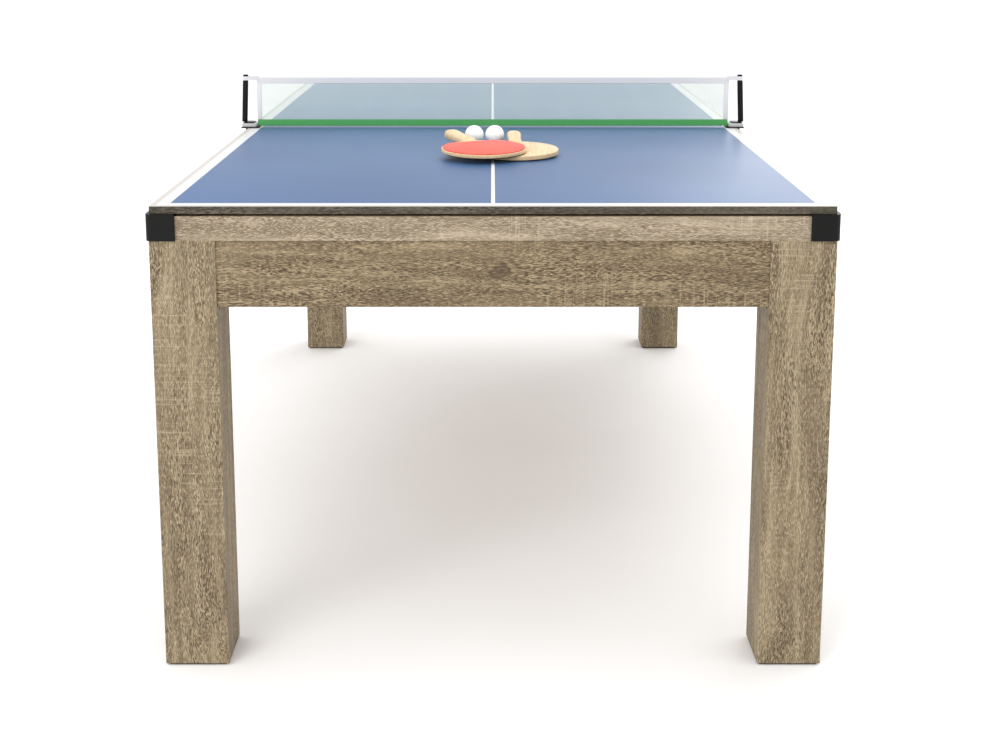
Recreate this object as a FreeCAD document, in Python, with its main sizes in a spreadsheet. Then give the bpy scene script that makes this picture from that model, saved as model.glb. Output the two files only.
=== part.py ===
"""A seven-foot pool table with a lift-off table-tennis top, a clip-on net, two bats and two balls.

Millimetres, +Z up. The origin is on the floor under the middle of the table, X runs across it
and Y along it, and the near end is at -Y. Every size comes from the sheet "dims".
"""
import FreeCAD, Part
import math
import os
import re

import Sketcher

DIMENSIONS = {
    # the table as a whole, over its rails
    "table_length": 2123,
    "table_width": 1146,
    "fit_gap": 0.3,
    # legs: two thick outer panels and two thinner inner ones round a hollow
    "leg_height": 757,
    "leg_size": 110,
    "leg_panel": 18,
    "inner_panel": 15,
    "inner_panel_height": 636,
    "foot_block_height": 30,
    # levelling feet
    "pad_margin": 5,
    "pad_thick": 4,
    "stud_radius": 5,
    "stud_length": 60,
    "stud_flange_radius": 9,
    "stud_flange_thick": 1.4,
    "stud_floor_gap": 0.8,
    "tee_nut_wall": 1.7,
    "tee_nut_flange_radius": 12,
    "tee_nut_flange": 2,
    "tee_nut_length": 12,
    # aprons and the frame inside them
    "apron_height": 114,
    "apron_thick": 15,
    "apron_recess": 3,
    "beam_thick": 18,
    "beam_height": 60,
    "bracket_size": 30,
    "bracket_height": 40,
    "steel_thick": 2,
    "strap_length": 75,
    "strap_height": 50,
    "strap_drop": 66,
    "screw_radius": 2,
    "screw_head_radius": 4,
    "screw_length": 12,
    "screw_inset": 15,
    # bed
    "board_thick": 18,
    "board_gap": 1,
    "cloth_thick": 0.8,
    # rails and cushions
    "rail_width": 62,
    "rail_height": 41,
    "bolt_inset": 40,
    "bolt_radius": 4,
    "bolt_head_radius": 7,
    "bolt_head": 5,
    "bolt_length": 46,
    "sight_radius": 5,
    "sight_thick": 0.6,
    "sight_inset": 26,
    "cushion_depth": 30,
    "cushion_drop": 1,
    "cushion_slope": 3,
    "nose_height": 5,
    "cushion_height": 33,
    "cushion_foot": 10,
    "cut_margin": 5,
    # pockets
    "corner_hole": 50,
    "side_hole": 46,
    "mouth_gap": 9,
    "corner_mouth_run": 32,
    "side_mouth_run": 8,
    "cup_wall": 2,
    "cup_clearance": 0.5,
    "cup_depth": 91,
    "cup_floor": 2.5,
    "ear_length": 16,
    "ear_width": 20,
    "cap_length": 44.5,
    "cap_overhang": 5,
    "cap_rise": 4,
    "cap_lip": 16,
    "cap_round": 12,
    "side_cap_overhang": 2,
    # table-tennis top
    "top_thick": 13,
    "top_inset": 1.5,
    "seam_gap": 1,
    # net and its clamps, with heights over the playing surface
    "net_setback": 27,
    "net_top": 117,
    "tape_height": 15,
    "tape_thick": 2.4,
    "tape_inset": 19.5,
    "hem_width": 11,
    "mesh_thick": 1.2,
    "band_height": 15.5,
    "band_gap": 2.5,
    "clamp_length": 50,
    "clamp_reach": 26.5,
    "clamp_overhang": 16,
    "clamp_plate": 2,
    "clamp_wall": 4,
    "clamp_wall_gap": 0.5,
    "tongue_thick": 2,
    "tongue_length": 22,
    "jaw_height": 11,
    "jaw_length": 44,
    "jaw_width": 34,
    "post_width": 12,
    "post_lean": 5,
    "post_inset": 5.5,
    "post_top": 123,
    "strap_low": 110,
    "strap_loop_height": 9,
    "strap_loop_wall": 1.6,
    # bats and balls
    "blade_radius": 86,
    "blade_thick": 6.5,
    "rubber_thick": 2,
    "rubber_inset": 1,
    "handle_length": 105,
    "handle_width": 32,
    "handle_thick": 23,
    "handle_bite": 12,
    "handle_round": 8,
    "ball_radius": 20,
}

# heights and places that several pieces share, as expressions of the sheet's sizes
HALF_X = "table_width / 2"
HALF_Y = "table_length / 2"
RAIL_FOOT = "(pad_thick + leg_height)"
RAIL_TOP = f"({RAIL_FOOT} + rail_height)"
BOARD_FOOT = f"({RAIL_FOOT} - board_thick)"
TOP_FOOT = f"({RAIL_TOP} + cap_rise)"
SURFACE = f"({TOP_FOOT} + top_thick)"
CUP_INSET = "(leg_panel + 2 * steel_thick + fit_gap + cup_wall + cup_clearance)"
CORNER_X = f"({HALF_X} - {CUP_INSET} - corner_hole)"
CORNER_Y = f"({HALF_Y} - {CUP_INSET} - corner_hole)"
SIDE_X = f"({HALF_X} - {CUP_INSET} - side_hole)"
SIDE_CAP = "(side_hole + mouth_gap)"
INNER_X = f"({HALF_X} - leg_panel)"
INNER_Y = f"({HALF_Y} - leg_panel)"
LEG_X = f"({HALF_X} - leg_size)"
LEG_Y = f"({HALF_Y} - leg_size)"
TOP_X = f"({HALF_X} - top_inset)"
TAPE_X = f"({TOP_X} - tape_inset)"
CLAMP_X = f"({TOP_X} + clamp_overhang)"
NET_Y = "(-net_setback)"
BEAM_SHARES = {"inner": "0.31", "outer": "0.68"}

document = FreeCAD.newDocument("pool_table")
sheet = document.addObject("Spreadsheet::Sheet", "dims")
for row, (alias, value) in enumerate(DIMENSIONS.items(), start=1):
    sheet.set(f"A{row}", alias)
    sheet.set(f"B{row}", str(value))
    sheet.setAlias(f"B{row}", alias)
document.recompute()

names = re.compile(r"\b(" + "|".join(DIMENSIONS) + r")\b")
nodes = []


def size(alias):
    """A sheet value as a number, for places that are turned in space."""
    return float(sheet.get(alias))


def tie(thing, prop, expression):
    """Bind a property to an expression of the sheet's sizes."""
    thing.setExpression(prop, names.sub(r"dims.\1", expression))


def place(thing, spot):
    for axis, expression in zip("xyz", spot, strict=True):
        tie(thing, f"Placement.Base.{axis}", expression)
    return thing


def box(name, low, high):
    """A box between two corners, each given as three expressions."""
    made = document.addObject("Part::Box", name)
    for prop, a, b in zip(("Length", "Width", "Height"), low, high, strict=True):
        tie(made, prop, f"({b}) - ({a})")
    return place(made, low)


def disc(name, radius, spot, height):
    """An upright cylinder that stands on a spot."""
    made = document.addObject("Part::Cylinder", name)
    tie(made, "Radius", radius)
    tie(made, "Height", height)
    return place(made, spot)


def prism(name, plane, points, depth, spot=("0", "0", "0")):
    """A padded sketch of straight lines, each corner tied to the sheet."""
    body = document.addObject("PartDesign::Body", name)
    face = next(f for f in body.Origin.OriginFeatures if f.Role == plane)
    sketch = body.newObject("Sketcher::SketchObject", name + "_outline")
    sketch.AttachmentSupport = [(face, "")]
    sketch.MapMode = "FlatFace"
    count = len(points)
    ring = [
        FreeCAD.Vector(100 * math.cos(turn), 100 * math.sin(turn), 0)
        for turn in (2 * math.pi * k / count for k in range(count))
    ]
    for k in range(count):
        sketch.addGeometry(Part.LineSegment(ring[k], ring[(k + 1) % count]), False)
    for k in range(count):
        sketch.addConstraint(Sketcher.Constraint("Coincident", k, 2, (k + 1) % count, 1))
    for k, (across, up) in enumerate(points):
        for kind, expression, now in (("DistanceX", across, ring[k].x), ("DistanceY", up, ring[k].y)):
            index = sketch.addConstraint(Sketcher.Constraint(kind, -1, 1, k, 1, now))
            tie(sketch, f"Constraints[{index}]", expression)
    pad = body.newObject("PartDesign::Pad", name + "_pad")
    pad.Profile = sketch
    tie(pad, "Length", depth)
    return place(body, spot)


def cut(name, base, *tools):
    made = document.addObject("Part::Cut", name)
    made.Base = base
    made.Tool = tools[0] if len(tools) == 1 else group(name + "_tools", tools)
    return made


def fuse(name, *pieces):
    made = document.addObject("Part::MultiFuse", name)
    made.Shapes = list(pieces)
    return made


def common(name, one, other):
    made = document.addObject("Part::Common", name)
    made.Base = one
    made.Tool = other
    return made


def mirror(name, source, axis):
    """The same piece on the other side of the table."""
    made = document.addObject("Part::Mirroring", name)
    made.Source = source
    made.Normal = (1, 0, 0) if axis == "x" else (0, 1, 0)
    return made


def group(name, pieces):
    made = document.addObject("Part::Compound", name)
    made.Links = list(pieces)
    return made


def rounded(name, base, radius, picked):
    """Fillet the straight edges of a base that a test on an edge's middle picks."""
    document.recompute()
    made = document.addObject("Part::Fillet", name)
    made.Base = base
    chosen = [k for k, edge in enumerate(base.Shape.Edges, start=1) if picked(edge)]
    made.Edges = [(k, size(radius), size(radius)) for k in chosen]
    return made


def node(name, thing):
    """Name a finished sub-part, which becomes a file of its own."""
    thing.Label = name
    nodes.append(thing)
    return thing


def both_sides(name, source, axis):
    return [source, mirror(name, source, axis)]


def four(stem, source):
    """A piece at the near left corner and its copies at the other three."""
    right = mirror(stem + "_near_right_copy", source, "x")
    far = mirror(stem + "_far_left_copy", source, "y")
    across = mirror(stem + "_far_right_copy", right, "y")
    return [source, right, far, across]


CORNERS = ("near_left", "near_right", "far_left", "far_right")


def four_nodes(stem, source):
    for corner, piece in zip(CORNERS, four(stem, source), strict=True):
        node(f"{stem}_{corner}", piece)


# ---- legs and levelling feet, drawn at the near left corner ----


def leg_angle(name, outer, inner, depth, foot):
    """Two boards that meet in an L, between an outer and an inner corner line."""
    (ox, oy), (ix, iy), (ex, ey) = outer, inner[0], inner[1]
    corners = [(ox, oy), (ex, oy), (ex, iy), (ix, iy), (ix, ey), (ox, ey)]
    return prism(name, "XY_Plane", corners, depth, ("0", "0", foot))


def legs():
    outer = leg_angle(
        "leg_panel",
        (f"-({HALF_X})", f"-({HALF_Y})"),
        ((f"-{INNER_X}", f"-{INNER_Y}"), (f"-{LEG_X}", f"-{LEG_Y}")),
        "leg_height",
        "pad_thick",
    )
    four_nodes("leg_panel", outer)
    inner = leg_angle(
        "inner_panel",
        (f"-{LEG_X}", f"-{LEG_Y}"),
        ((f"-({LEG_X} + inner_panel)", f"-({LEG_Y} + inner_panel)"), (f"-{INNER_X}", f"-{INNER_Y}")),
        "inner_panel_height",
        "pad_thick",
    )
    node("leg_inner_panels", group("inner_panels", four("inner_panel_set", inner)))




def feet():
    stud_x = f"((-{INNER_X} - {LEG_X} - inner_panel) / 2)"
    stud_y = f"((-{INNER_Y} - {LEG_Y} - inner_panel) / 2)"
    block = box(
        "foot_block",
        (f"-{INNER_X}", f"-{INNER_Y}", "pad_thick + tee_nut_flange"),
        (f"-({LEG_X} + inner_panel)", f"-({LEG_Y} + inner_panel)", "pad_thick + foot_block_height"),
    )
    bore = "stud_radius + fit_gap + tee_nut_wall"
    well = disc("foot_block_bore", bore, (stud_x, stud_y, "0"), "pad_thick + foot_block_height + cut_margin")
    node("leg_foot_blocks", group("foot_blocks", four("foot_block_set", cut("bored_block", block, well))))
    flange = disc("nut_flange", "tee_nut_flange_radius", (stud_x, stud_y, "pad_thick"), "tee_nut_flange")
    barrel = disc("nut_barrel", bore, (stud_x, stud_y, "pad_thick"), "tee_nut_length")
    bore = "pad_thick + tee_nut_length + cut_margin"
    thread = disc("nut_thread", "stud_radius + fit_gap", (stud_x, stud_y, "0"), bore)
    nut = cut("tee_nut", fuse("tee_nut_blank", flange, barrel), thread)
    node("leg_tee_nuts", group("tee_nuts", four("tee_nut_set", nut)))
    plate = box(
        "foot_plate",
        (f"-({HALF_X} - pad_margin)", f"-({HALF_Y} - pad_margin)", "0"),
        (f"-({LEG_X} + pad_margin)", f"-({LEG_Y} + pad_margin)", "pad_thick"),
    )
    hole = disc("foot_hole", "stud_radius + fit_gap", (stud_x, stud_y, "-1"), "pad_thick + 2")
    seat = disc(
        "foot_seat",
        "stud_flange_radius + fit_gap",
        (stud_x, stud_y, "-1"),
        "1 + stud_floor_gap + stud_flange_thick + fit_gap",
    )
    four_nodes("foot_pad", cut("foot_pad_piece", plate, hole, seat))
    shank = disc("stud_shank", "stud_radius", (stud_x, stud_y, "stud_floor_gap"), "stud_length")
    collar_spot = (stud_x, stud_y, "stud_floor_gap")
    collar = disc("stud_collar", "stud_flange_radius", collar_spot, "stud_flange_thick")
    four_nodes("foot_stud", fuse("foot_stud_piece", shank, collar))


# ---- aprons, beams, brackets and screws ----

APRON_FOOT = f"({RAIL_FOOT} - apron_height)"
APRON_X = f"({HALF_X} - apron_recess - apron_thick)"
APRON_Y = f"({HALF_Y} - apron_recess - apron_thick)"


def aprons():
    near = box(
        "near_apron_board",
        (f"-{LEG_X}", f"-({APRON_Y} + apron_thick)", APRON_FOOT),
        (LEG_X, f"-{APRON_Y}", RAIL_FOOT),
    )
    left = box(
        "left_apron_board",
        (f"-({APRON_X} + apron_thick)", f"-{LEG_Y}", APRON_FOOT),
        (f"-{APRON_X}", LEG_Y, RAIL_FOOT),
    )
    node("apron_near", near)
    node("apron_far", mirror("far_apron_board", near, "y"))
    node("apron_left", left)
    node("apron_right", mirror("right_apron_board", left, "x"))


def beams():
    made = []
    for name, share in BEAM_SHARES.items():
        beam = box(
            f"{name}_beam",
            (f"-{APRON_X}", f"-{HALF_Y} * {share} - beam_thick / 2", f"{BOARD_FOOT} - beam_height"),
            (APRON_X, f"-{HALF_Y} * {share} + beam_thick / 2", BOARD_FOOT),
        )
        made += both_sides(f"{name}_beam_far", beam, "y")
    node("cross_beams", group("beam_set", made))


def brackets():
    made = []
    foot = f"{BOARD_FOOT} - bracket_height"
    for name, share in BEAM_SHARES.items():
        wall = f"-{APRON_X}"
        face = f"-{HALF_Y} * {share} - beam_thick / 2"
        corners = [
            (wall, face),
            (wall, f"{face} - bracket_size"),
            (f"{wall} + steel_thick", f"{face} - bracket_size"),
            (f"{wall} + steel_thick", f"{face} - steel_thick"),
            (f"{wall} + bracket_size", f"{face} - steel_thick"),
            (f"{wall} + bracket_size", face),
        ]
        angle = prism(f"{name}_bracket", "XY_Plane", corners, "bracket_height", ("0", "0", foot))
        made += four(f"{name}_bracket_set", angle)
    node("beam_brackets", group("bracket_set", made))


STRAP_FOOT = f"({RAIL_FOOT} - strap_drop - strap_height / 2)"


def straps():
    """Steel plates inside each corner that tie the leg to its two aprons."""
    end = box(
        "end_strap",
        (f"-({LEG_X} + strap_length / 2)", f"-{INNER_Y}", STRAP_FOOT),
        (f"-({LEG_X} - strap_length / 2)", f"-{INNER_Y} + steel_thick", f"{STRAP_FOOT} + strap_height"),
    )
    side = box(
        "side_strap",
        (f"-{INNER_X}", f"-({LEG_Y} + strap_length / 2)", STRAP_FOOT),
        (f"-{INNER_X} + steel_thick", f"-({LEG_Y} - strap_length / 2)", f"{STRAP_FOOT} + strap_height"),
    )
    node("corner_straps", group("strap_set", four("end_strap_set", end) + four("side_strap_set", side)))
    middle = f"{STRAP_FOOT} + strap_height / 2"
    made = []
    for k, shift in enumerate(("screw_inset", "-screw_inset")):
        for way in ("end", "side"):
            head = disc(f"{way}_head_{k}", "screw_head_radius", ("0", "0", "0"), "steel_thick")
            whole = "steel_thick + screw_length"
            shank = disc(f"{way}_shank_{k}", "screw_radius", ("0", "0", "0"), whole)
            screw = fuse(f"{way}_screw_{k}", head, shank)
            if way == "end":
                screw.Placement.Rotation = FreeCAD.Rotation(FreeCAD.Vector(1, 0, 0), 90)
                place(screw, (f"-{LEG_X} + {shift}", f"-{INNER_Y} + 2 * steel_thick", middle))
            else:
                screw.Placement.Rotation = FreeCAD.Rotation(FreeCAD.Vector(0, 1, 0), -90)
                place(screw, (f"-{INNER_X} + 2 * steel_thick", f"-{LEG_Y} + {shift}", middle))
            made += four(f"{way}_screw_set_{k}", screw)
    node("frame_screws", group("screw_set", made))


# ---- bed, rails and cushions ----


def pocket_tools(name, low, high):
    """Upright cylinders through all six pockets, between two heights."""
    height = f"({high}) - ({low})"
    corner = disc(f"{name}_corner", "corner_hole", (f"-{CORNER_X}", f"-{CORNER_Y}", low), height)
    side = disc(f"{name}_side", "side_hole", (f"-{SIDE_X}", "0", low), height)
    sides = both_sides(f"{name}_side_far", side, "x")
    return group(f"{name}_holes", four(f"{name}_corner_set", corner) + sides)


SIDE_BOLTS = ("0.13", "0.48", "0.83")
END_BOLTS = ("-0.66", "0", "0.66")


def bolt_spots():
    """Places of the rail bolts: three in each of the six rails, as fractions of a half rail."""
    spots = []
    for share in SIDE_BOLTS:
        for sx in ("-", ""):
            for sy in ("-", ""):
                spots.append((f"{sx}({HALF_X} - bolt_inset)", f"{sy}({HALF_Y} * {share})"))
    for share in END_BOLTS:
        for sy in ("-", ""):
            spots.append((f"{HALF_X} * {share}", f"{sy}({HALF_Y} - bolt_inset)"))
    return spots


def bolts():
    made = []
    holes = []
    for k, (x, y) in enumerate(bolt_spots()):
        foot = (x, y, f"{BOARD_FOOT} - bolt_head")
        head = disc(f"bolt_head_{k}", "bolt_head_radius", foot, "bolt_head")
        shank = disc(f"bolt_shank_{k}", "bolt_radius", foot, "bolt_head + bolt_length")
        made.append(fuse(f"bolt_{k}", head, shank))
        bore = "bolt_length + cut_margin / 5"
        holes.append(disc(f"bolt_hole_{k}", "bolt_radius + fit_gap", (x, y, BOARD_FOOT), bore))
    node("rail_bolts", group("bolt_set", made))
    return group("bolt_holes", holes)


def bed(bolt_holes):
    board = box(
        "board_blank",
        (f"-({INNER_X} - board_gap)", f"-({INNER_Y} - board_gap)", BOARD_FOOT),
        (f"{INNER_X} - board_gap", f"{INNER_Y} - board_gap", RAIL_FOOT),
    )
    holes = pocket_tools("board", f"{BOARD_FOOT} - cut_margin", f"{RAIL_FOOT} + cut_margin")
    node("bed_board", cut("board", board, holes, bolt_holes))
    felt = box(
        "cloth_blank",
        (f"-({HALF_X} - rail_width)", f"-({HALF_Y} - rail_width)", RAIL_FOOT),
        (f"{HALF_X} - rail_width", f"{HALF_Y} - rail_width", f"{RAIL_FOOT} + cloth_thick"),
    )
    felt_holes = pocket_tools("cloth", f"{RAIL_FOOT} - cut_margin", f"{RAIL_FOOT} + cut_margin")
    node("bed_cloth", cut("cloth", felt, felt_holes))


def rails(bolt_holes):
    throats = pocket_tools("rail", f"{RAIL_FOOT} - cut_margin", f"{TOP_FOOT} + cut_margin")
    end = box(
        "end_rail_blank",
        (f"-({HALF_X} - cap_length)", f"-({HALF_Y})", RAIL_FOOT),
        (f"{HALF_X} - cap_length", f"-({HALF_Y} - rail_width)", RAIL_TOP),
    )
    near = cut("end_rail", end, throats, bolt_holes)
    node("rail_near", near)
    node("rail_far", mirror("far_rail", near, "y"))
    side = box(
        "side_rail_blank",
        (f"-({HALF_X})", f"-({HALF_Y} - cap_length)", RAIL_FOOT),
        (f"-({HALF_X} - rail_width)", f"-{SIDE_CAP}", RAIL_TOP),
    )
    four_nodes("rail", cut("side_rail", side, throats, bolt_holes))


def cushion_section(name, plane, face, length, spot):
    """The rubber's profile across the rail: a tall back, a short nose and a slanted underside."""
    top = f"{RAIL_TOP} - cushion_drop"
    corners = [
        (f"-({face})", f"{top} - cushion_height"),
        (f"-({face})", top),
        (f"-({face} - cushion_depth)", f"{top} - cushion_slope"),
        (f"-({face} - cushion_depth)", f"{top} - cushion_slope - nose_height"),
        (f"-({face} - cushion_foot)", f"{top} - cushion_height"),
    ]
    return prism(name, plane, corners, length, spot)


def cushions():
    face_y = f"{HALF_Y} - rail_width"
    face_x = f"{HALF_X} - rail_width"
    reach = f"({CORNER_X} - corner_hole - mouth_gap)"
    reach_y = f"({CORNER_Y} - corner_hole - mouth_gap)"
    end_start = (f"-{reach}", "0", "0")
    end_bar = cushion_section("end_cushion_bar", "YZ_Plane", face_y, f"2 * {reach}", end_start)
    end_plan = prism(
        "end_cushion_plan",
        "XY_Plane",
        [
            (f"-{reach}", f"-({face_y})"),
            (reach, f"-({face_y})"),
            (f"{reach} - corner_mouth_run", f"-({face_y} - cushion_depth)"),
            (f"-({reach} - corner_mouth_run)", f"-({face_y} - cushion_depth)"),
        ],
        TOP_FOOT,
    )
    end = common("end_cushion", end_bar, end_plan)
    node("end_cushions", group("end_cushion_set", both_sides("far_cushion", end, "y")))
    side_bar = cushion_section("side_cushion_bar", "XZ_Plane", face_x, reach_y, ("0", "0", "0"))
    side_plan = prism(
        "side_cushion_plan",
        "XY_Plane",
        [
            (f"-({face_x})", f"-{reach_y}"),
            (f"-({face_x} - cushion_depth)", f"-({reach_y} - corner_mouth_run)"),
            (f"-({face_x} - cushion_depth)", f"-({SIDE_CAP} + side_mouth_run)"),
            (f"-({face_x})", f"-{SIDE_CAP}"),
        ],
        TOP_FOOT,
    )
    side = common("side_cushion", side_bar, side_plan)
    node("side_cushions", group("side_cushion_set", four("side_cushion_copies", side)))


def sights():
    """Inlaid dots on the rail tops, at the quarter points between pockets."""
    made = []
    for k in (1, 2, 3):
        spot = (f"-({HALF_X} - sight_inset)", f"-{CORNER_Y} * {k} / 4", RAIL_TOP)
        made += four(f"side_sight_{k}", disc(f"side_sight_dot_{k}", "sight_radius", spot, "sight_thick"))
    for k in (-1, 0, 1):
        spot = (f"{CORNER_X} * {k} / 2", f"-({HALF_Y} - sight_inset)", RAIL_TOP)
        dot = disc(f"end_sight_dot_{k + 2}", "sight_radius", spot, "sight_thick")
        made += both_sides(f"end_sight_{k + 2}", dot, "y")
    node("rail_sights", group("sight_set", made))


# ---- pocket caps and cups ----


def outer_upright(edge):
    """The vertical edge furthest out at the near left corner."""
    middle = edge.BoundBox.Center
    far = size("table_width") / 2 + size("cap_overhang"), size("table_length") / 2 + size("cap_overhang")
    upright = edge.BoundBox.ZLength > size("cap_rise")
    return upright and abs(middle.x + far[0]) < 0.1 and abs(middle.y + far[1]) < 0.1


def corner_caps():
    block = box(
        "cap_blank",
        (f"-({HALF_X} + cap_overhang)", f"-({HALF_Y} + cap_overhang)", RAIL_FOOT),
        (f"-({HALF_X} - cap_length)", f"-({HALF_Y} - cap_length)", TOP_FOOT),
    )
    soft = rounded("cap_soft", block, "cap_round", outer_upright)
    lip_spot = (f"-{CORNER_X}", f"-{CORNER_Y}", RAIL_TOP)
    lip = disc("cap_lip_disc", "corner_hole + cap_lip", lip_spot, "cap_rise")
    reach = "corner_hole + cap_lip + cut_margin"
    mouth = box(
        "cap_mouth",
        (f"-({HALF_X} - rail_width)", f"-({HALF_Y} - rail_width)", f"{RAIL_TOP} - cut_margin"),
        (f"-{CORNER_X} + {reach}", f"-{CORNER_Y} + {reach}", f"{TOP_FOOT} + cut_margin"),
    )
    under = (f"-{CORNER_X}", f"-{CORNER_Y}", f"{RAIL_FOOT} - cut_margin")
    hole = disc("cap_hole", "corner_hole", under, "rail_height + cap_rise + 2 * cut_margin")
    four_nodes("corner_cap", cut("cap_piece", fuse("cap_joined", soft, lip), mouth, hole))


def side_caps():
    block = box(
        "side_cap_blank",
        (f"-({HALF_X} + side_cap_overhang)", f"-{SIDE_CAP}", RAIL_FOOT),
        (f"-({HALF_X} - rail_width)", SIDE_CAP, RAIL_TOP),
    )
    hole = disc("side_cap_hole", "side_hole", (f"-{SIDE_X}", "0", f"{RAIL_FOOT} - cut_margin"), "rail_height + 2 * cut_margin")
    left = cut("side_cap_piece", block, hole)
    node("side_caps", group("side_cap_set", both_sides("side_cap_right", left, "x")))


def cup(name, hole, x, y, ears):
    """A moulded ball cup under the bed, held by flat ears screwed to the board."""
    foot = f"{BOARD_FOOT} - cup_depth"
    inside = f"{hole} + cup_clearance"
    outside = f"{inside} + cup_wall"
    shell = disc(f"{name}_shell", outside, (x, y, foot), "cup_depth")
    parts = [shell]
    for k, (dx, dy) in enumerate(ears):
        reach = f"({outside} + ear_length)"
        low_x = f"{x} - ear_width / 2" if dx == 0 else x
        high_x = f"{x} + ear_width / 2" if dx == 0 else f"{x} + {reach}"
        low_y = f"{y} - ear_width / 2" if dy == 0 else (y if dy > 0 else f"{y} - {reach}")
        high_y = f"{y} + ear_width / 2" if dy == 0 else (f"{y} + {reach}" if dy > 0 else y)
        top = BOARD_FOOT
        parts.append(box(f"{name}_ear_{k}", (low_x, low_y, f"{top} - cup_floor"), (high_x, high_y, top)))
    well = disc(f"{name}_well", inside, (x, y, f"{foot} + cup_floor"), "cup_depth")
    return cut(f"{name}_piece", fuse(f"{name}_joined", *parts), well)


def cups():
    corner = cup("corner_cup", "corner_hole", f"-{CORNER_X}", f"-{CORNER_Y}", [(1, 0), (0, 1)])
    four_nodes("pocket_cup", corner)
    left = cup("side_cup", "side_hole", f"-{SIDE_X}", "0", [(1, 0), (0, 1), (0, -1)])
    node("pocket_cup_left", left)
    node("pocket_cup_right", mirror("side_cup_right", left, "x"))


# ---- table-tennis top, net and clamps ----


def tennis_top():
    near = box(
        "near_half",
        (f"-{TOP_X}", f"-({HALF_Y} - top_inset)", TOP_FOOT),
        (TOP_X, "-seam_gap / 2", SURFACE),
    )
    node("tennis_top_near", near)
    node("tennis_top_far", mirror("far_half", near, "y"))
    return near


TAPE_FOOT = f"({SURFACE} + net_top - tape_height)"
BAND_TOP = f"({SURFACE} + band_gap + band_height)"


def upright_sheet(name, half, thick, low, high):
    front, back = (f"{NET_Y} {sign} {thick} / 2" for sign in "-+")
    return box(name, (f"-({half})", front, low), (half, back, high))


def net():
    tape = upright_sheet("tape_strip", TAPE_X, "tape_thick", TAPE_FOOT, f"{SURFACE} + net_top")
    hem = box(
        "side_hem",
        (f"-{TAPE_X}", f"{NET_Y} - tape_thick / 2", BAND_TOP),
        (f"-({TAPE_X} - hem_width)", f"{NET_Y} + tape_thick / 2", TAPE_FOOT),
    )
    node("net_binding", fuse("net_binding_piece", tape, *both_sides("side_hem_right", hem, "x")))
    band_x = f"{CLAMP_X} - clamp_plate - jaw_width - fit_gap"
    band = upright_sheet("band_strip", band_x, "tape_thick", f"{SURFACE} + band_gap", BAND_TOP)
    node("net_bottom_band", band)
    mesh_x = f"{TAPE_X} - hem_width"
    node("net_mesh", upright_sheet("mesh_panel", mesh_x, "mesh_thick", BAND_TOP, TAPE_FOOT))


def clamps():
    near = f"{NET_Y} - clamp_length / 2"
    far = f"{NET_Y} + clamp_length / 2"
    wall = f"({TOP_X} + clamp_wall_gap)"
    tongue_foot = f"{RAIL_TOP} + (cap_rise - tongue_thick) / 2"
    plate_top = f"{SURFACE} + clamp_plate"
    plate_end = (f"-({TOP_X} - clamp_reach)", far, plate_top)
    plate = box("clamp_top", (f"-{CLAMP_X}", near, SURFACE), plate_end)
    side = box("clamp_side", (f"-({wall} + clamp_wall)", near, tongue_foot), (f"-{wall}", far, plate_top))
    tongue = box(
        "clamp_tongue",
        (f"-({wall} + clamp_wall)", near, tongue_foot),
        (f"-({wall} - tongue_length)", far, f"{tongue_foot} + tongue_thick"),
    )
    jaw_x = f"({CLAMP_X} - clamp_plate)"
    jaw = box(
        "clamp_jaw",
        (f"-{jaw_x}", f"{NET_Y} - jaw_length / 2", plate_top),
        (f"-({jaw_x} - jaw_width)", f"{NET_Y} + jaw_length / 2", f"{plate_top} + jaw_height"),
    )
    left = group("clamp_pair", [fuse("clamp_body", plate, side, tongue), jaw])
    node("net_clamp_left", left)
    node("net_clamp_right", mirror("clamp_right", left, "x"))
    middle = f"({CLAMP_X} - post_inset)"
    foot = f"{plate_top} + jaw_height"
    corners = [
        (f"-({middle} + post_width / 2)", foot),
        (f"-({middle} - post_width / 2)", foot),
        (f"-({middle} - post_width / 2 - post_lean)", f"{SURFACE} + post_top"),
        (f"-({middle} + post_width / 2 - post_lean)", f"{SURFACE} + post_top"),
    ]
    post = prism("post", "XZ_Plane", corners, "post_width", ("0", f"{NET_Y} + post_width / 2", "0"))
    post_back = f"({middle} + post_width / 2 - post_lean)"
    loop_half = "(post_width / 2 + strap_loop_wall)"
    loop_foot = f"{SURFACE} + strap_low"
    loop = box(
        "strap_blank",
        (f"-({post_back} + 2 * strap_loop_wall)", f"{NET_Y} - {loop_half}", loop_foot),
        (f"-({TAPE_X} + fit_gap)", f"{NET_Y} + {loop_half}", f"{loop_foot} + strap_loop_height"),
    )
    left_post = group("post_and_strap", [post, cut("strap_loop", loop, post)])
    node("net_post_left", left_post)
    node("net_post_right", mirror("post_right", left_post, "x"))


# ---- bats and balls ----


def bat(stem, core):
    """A round blade with its handle, drawn flat about the blade's middle, handle towards +Y."""
    blade = disc(f"{stem}_blade", "blade_radius", ("0", "0", f"-({core}) / 2"), core)
    grip = box(
        f"{stem}_grip",
        ("-handle_width / 2", "blade_radius - handle_bite", "-handle_thick / 2"),
        ("handle_width / 2", "blade_radius + handle_length", "handle_thick / 2"),
    )
    along = size("handle_length")
    soft = rounded(f"{stem}_soft_grip", grip, "handle_round", lambda edge: edge.BoundBox.YLength > along)
    return fuse(f"{stem}_wood", blade, soft)


def rubbers():
    """The two rubber sheets of the red bat, cut straight where the handle starts."""
    parts = []
    for name, foot in (("front", "blade_thick / 2"), ("back", "-blade_thick / 2 - rubber_thick")):
        reach = "blade_radius - rubber_inset"
        sheet_disc = disc(f"{name}_rubber_disc", reach, ("0", "0", foot), "rubber_thick")
        end = box(
            f"{name}_rubber_end",
            ("-blade_radius", "blade_radius - handle_bite - rubber_inset", "-handle_thick"),
            ("blade_radius", "blade_radius + rubber_inset", "handle_thick"),
        )
        parts.append(cut(f"{name}_rubber", sheet_disc, end))
    return group("rubber_pair", parts)


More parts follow.
